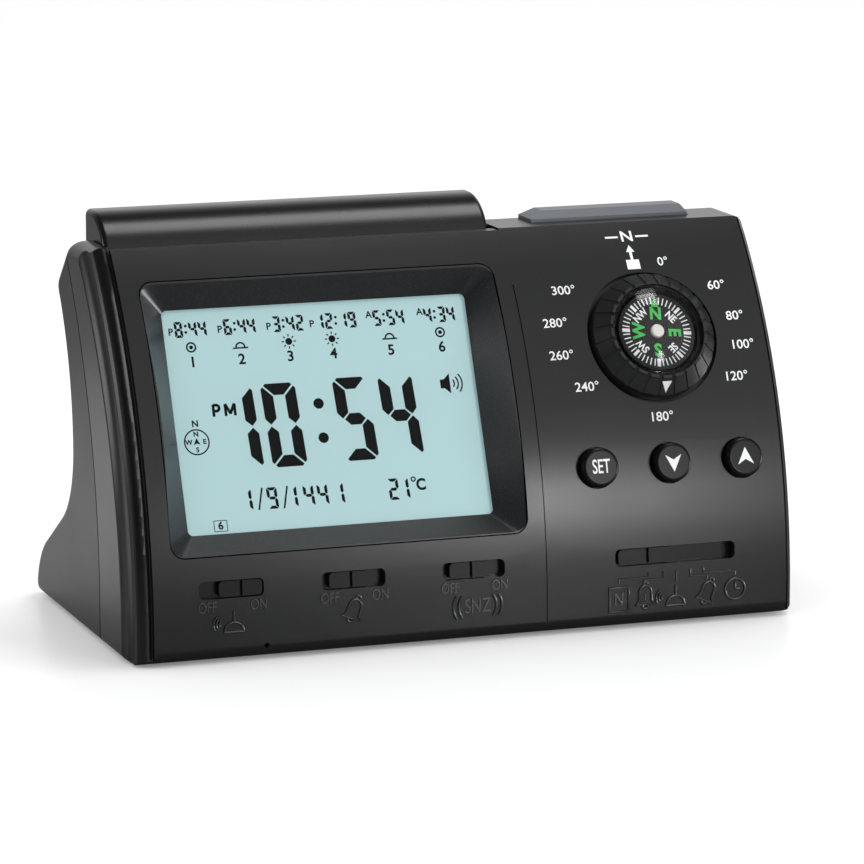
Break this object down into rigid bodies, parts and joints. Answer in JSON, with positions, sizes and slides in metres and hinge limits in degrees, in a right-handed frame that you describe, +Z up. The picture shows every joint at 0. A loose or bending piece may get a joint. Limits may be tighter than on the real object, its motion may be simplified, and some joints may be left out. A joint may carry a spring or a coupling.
{
  "type": "digital table clock",
  "caption": "Table clock that leans back: large display in a dished bezel, compass dial with a turning ring, press bar, round buttons and slide switches.",
  "frame": {"origin": "on the table, under the middle of the clock's outline seen from above", "axes": "+X to the right of someone who reads the clock, -Y out of its face, +Z up"},
  "size_m": [0.17, 0.0844, 0.1011],
  "materials": {
    "front_case": "black with a fine metallic fleck, satin",
    "rear_case": "black, fine spark texture",
    "bezel": "dark grey with a metallic fleck",
    "clear_window": "clear, polished",
    "display_glass": "pale blue-green liquid crystal, black segments",
    "backlight": "white diffuser",
    "holder": "moulded, plain",
    "contact_rubber": "layered rubber strip",
    "board": "green solder mask",
    "chip": "moulded epoxy",
    "tin_can": "tinned",
    "capacitor_sleeve": "shrunk sleeve",
    "screw": "zinc plated",
    "switch_case": "moulded",
    "slate_key": "slate blue-grey, satin",
    "dark_knob": "black, satin",
    "dark_button": "black, satin",
    "dark_bar": "black, satin",
    "white_print": "white ink",
    "green_print": "green ink",
    "display_ink": "dark display segments",
    "bar_strip": "dark, satin",
    "rod": "drawn wire",
    "compass_cup": "moulded, dark",
    "crystal": "clear dome, polished",
    "card": "black card",
    "brass_hub": "turned, with a white cap",
    "magnet": "plain",
    "dial_paint": "black, satin",
    "speaker_steel": "black",
    "speaker_paper": "pressed paper",
    "tray": "moulded",
    "cell_sleeve": "plain sleeve",
    "contact_metal": "nickel plated",
    "foot_rubber": "matt"
  },
  "bodies": {
    "case": {"front_shell": "front_case", "rear_shell": "rear_case", "lcd_bezel": "bezel", "lcd_window": "clear_window", "lcd_glass": "display_glass", "backlight_panel": "backlight", "lcd_holder": "holder", "zebra_strips": "contact_rubber", "main_board": "board", "board_chips": "chip", "quartz_can": "tin_can", "filter_capacitor": "capacitor_sleeve", "display_screws": "screw", "board_screws": "screw", "switch_board": "board", "switch_bodies": "switch_case", "mode_switch_body": "switch_case", "button_board": "board", "button_switches": "switch_case", "bar_hinge_rod": "rod", "top_board": "board", "top_switches": "switch_case", "compass_cup": "compass_cup", "compass_crystal": "crystal", "compass_pivot": "rod", "compass_screws": "screw", "speaker_frame": "speaker_steel", "speaker_cone": "speaker_paper", "speaker_magnet": "magnet", "speaker_screws": "screw", "battery_tray": "tray", "battery_cells": "cell_sleeve", "battery_contacts": "contact_metal", "case_screws": "screw", "rubber_feet": "foot_rubber"},
    "press_bar": {"top_bar_cover": "dark_bar", "top_bar_back": "bar_strip"},
    "light_key": {"top_key": "slate_key"},
    "azan_knob": {"azan_switch_knob": "dark_knob"},
    "alarm_knob": {"alarm_switch_knob": "dark_knob"},
    "snooze_knob": {"snooze_switch_knob": "dark_knob"},
    "mode_knob": {"mode_switch_knob": "dark_knob"},
    "set_cap": {"set_button": "dark_button"},
    "down_cap": {"down_button": "dark_button"},
    "up_cap": {"up_button": "dark_button"},
    "ring": {"dial_ring": "dial_paint"},
    "card": {"compass_card": "card", "compass_hub": "brass_hub", "compass_magnet": "magnet"},
    "door": {"battery_door": "rear_case"}
  },
  "joints": [
    {"name": "bar_press", "type": "hinge", "parent": "case", "child": "press_bar", "pos_m": [-0.0306, 0.011, 0.0874], "axis": [1, 0, 0], "range_deg": [0, 3], "stiffness_Nm_per_rad": 0.3, "springref_deg": -2.86},
    {"name": "key_press", "type": "slide", "parent": "case", "child": "light_key", "axis": [0, 0, -1], "range_m": [0, 0.0008], "stiffness_N_per_m": 600, "springref_m": -0.001},
    {"name": "azan_slide", "type": "slide", "parent": "case", "child": "azan_knob", "axis": [1, 0, 0], "range_m": [-0.003, 0]},
    {"name": "alarm_slide", "type": "slide", "parent": "case", "child": "alarm_knob", "axis": [1, 0, 0], "range_m": [0, 0.003]},
    {"name": "snooze_slide", "type": "slide", "parent": "case", "child": "snooze_knob", "axis": [1, 0, 0], "range_m": [0, 0.003]},
    {"name": "mode_slide", "type": "slide", "parent": "case", "child": "mode_knob", "axis": [1, 0, 0], "range_m": [0, 0.0144]},
    {"name": "set_press", "type": "slide", "parent": "case", "child": "set_cap", "axis": [0, 0.9659, -0.2588], "range_m": [0, 0.0008], "stiffness_N_per_m": 500, "springref_m": -0.001},
    {"name": "down_press", "type": "slide", "parent": "case", "child": "down_cap", "axis": [0, 0.9659, -0.2588], "range_m": [0, 0.0008], "stiffness_N_per_m": 500, "springref_m": -0.001},
    {"name": "up_press", "type": "slide", "parent": "case", "child": "up_cap", "axis": [0, 0.9659, -0.2588], "range_m": [0, 0.0008], "stiffness_N_per_m": 500, "springref_m": -0.001},
    {"name": "ring_turn", "type": "hinge", "parent": "case", "child": "ring", "pos_m": [0.0523, -0.02596, 0.06874], "axis": [0, -0.8788, 0.4772], "continuous": true},
    {"name": "card_turn", "type": "hinge", "parent": "case", "child": "card", "pos_m": [0.0523, -0.02596, 0.06874], "axis": [0, -0.8788, 0.4772], "continuous": true},
    {"name": "door_slide", "type": "slide", "parent": "case", "child": "door", "axis": [0, 1, 0], "range_m": [0, 0.036]}
  ]
}
